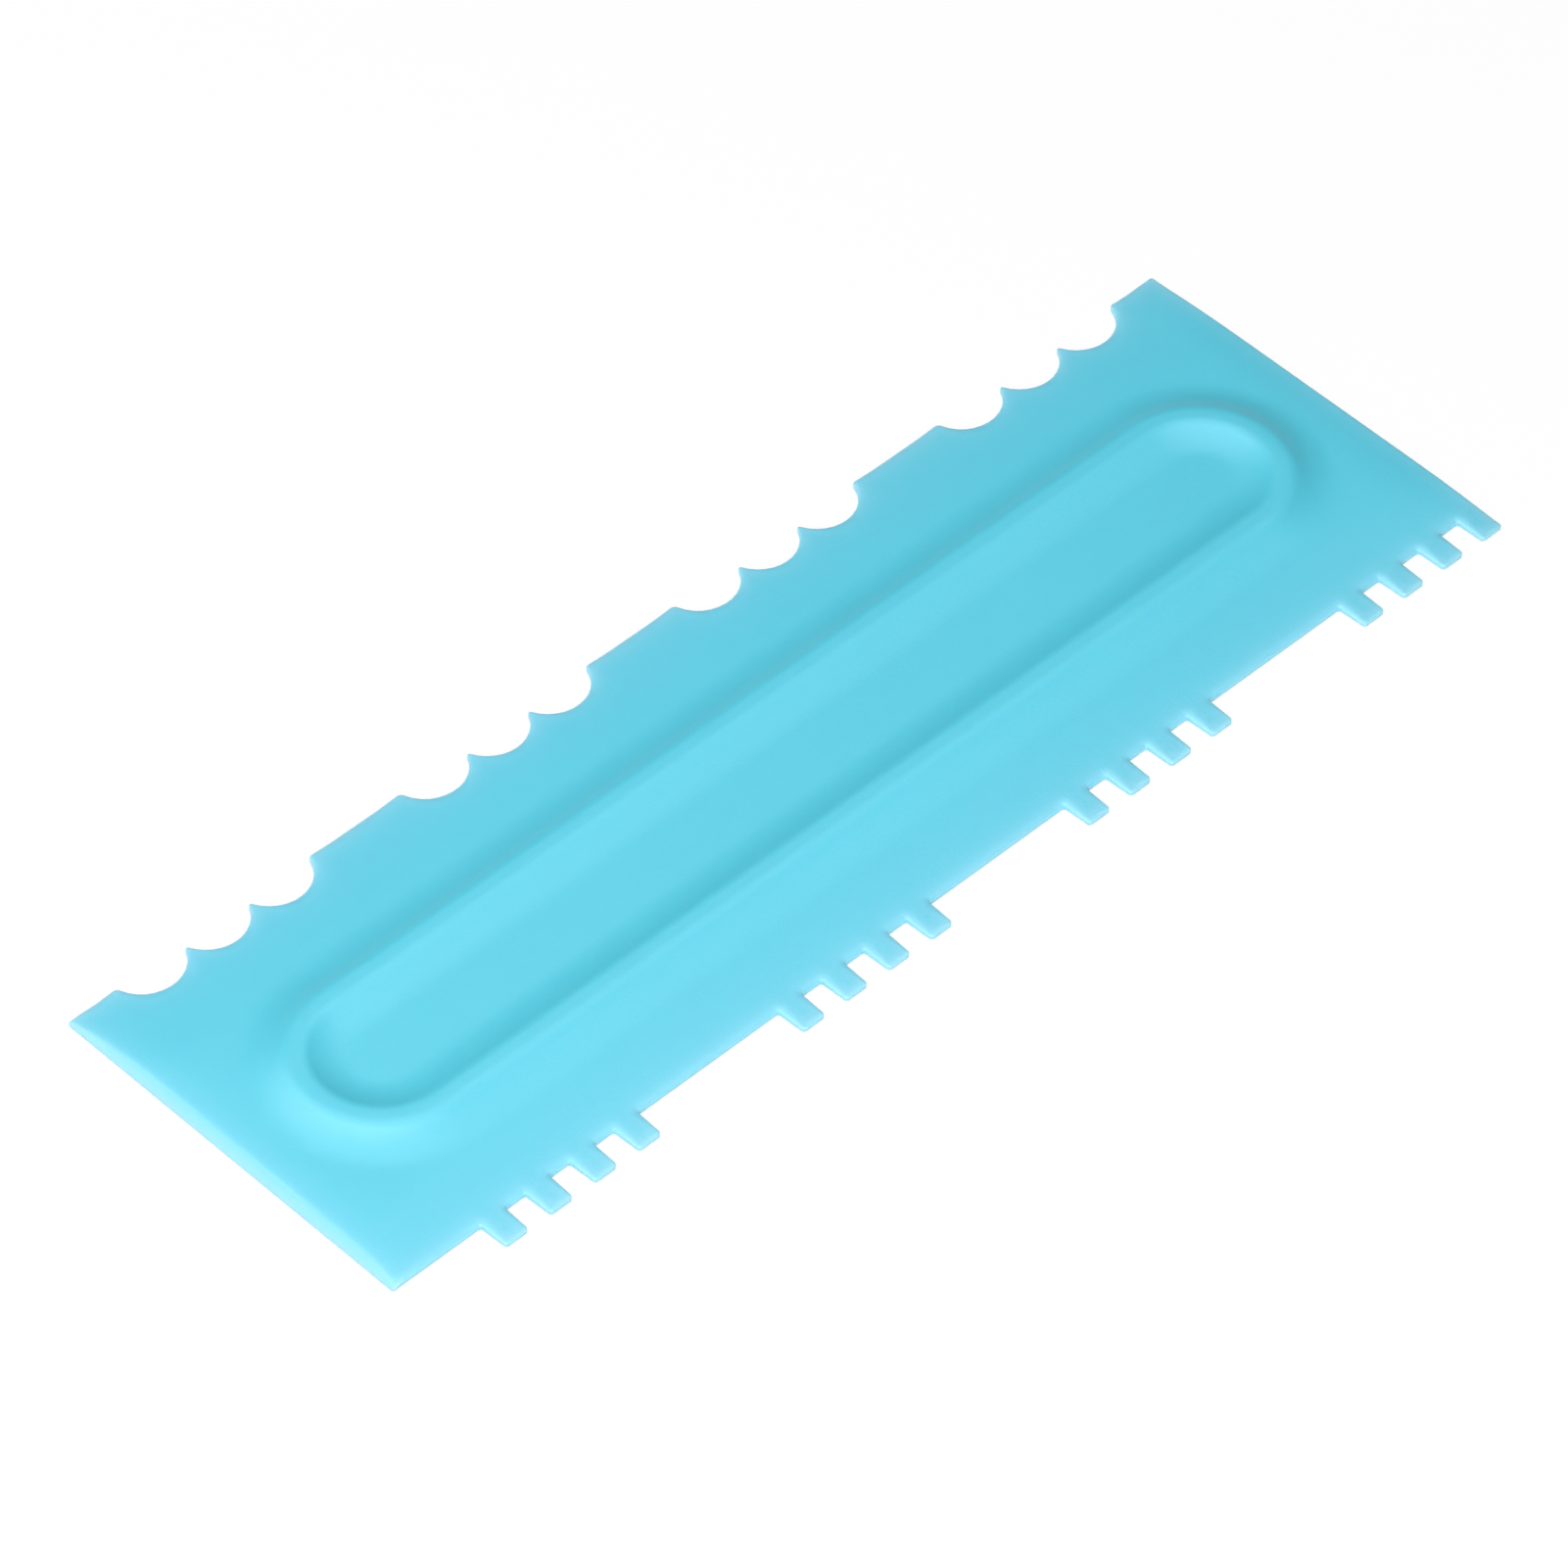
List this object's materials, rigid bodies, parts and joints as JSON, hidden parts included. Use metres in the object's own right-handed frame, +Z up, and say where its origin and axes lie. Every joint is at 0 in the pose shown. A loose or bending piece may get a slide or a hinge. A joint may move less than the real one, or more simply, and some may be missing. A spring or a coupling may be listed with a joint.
{
  "type": "cake comb",
  "caption": "Flat rectangular plastic cake comb: square teeth along a long edge, scallops along the opposite edge, a bevelled end and a raised obround grip ridge, for texturing icing.",
  "frame": {"origin": "centre of the underside, the face that lies on a table", "axes": "+X along the length, from the bevelled end to the end with the flush tooth; +Y towards the scalloped long edge, the teeth being at -Y; +Z up, on the side with the ridge"},
  "size_m": [0.2286, 0.0762, 0.0043],
  "materials": {
    "plastic": "satin, slightly translucent turquoise"
  },
  "bodies": {
    "root": {"comb": "plastic"}
  },
  "joints": []
}
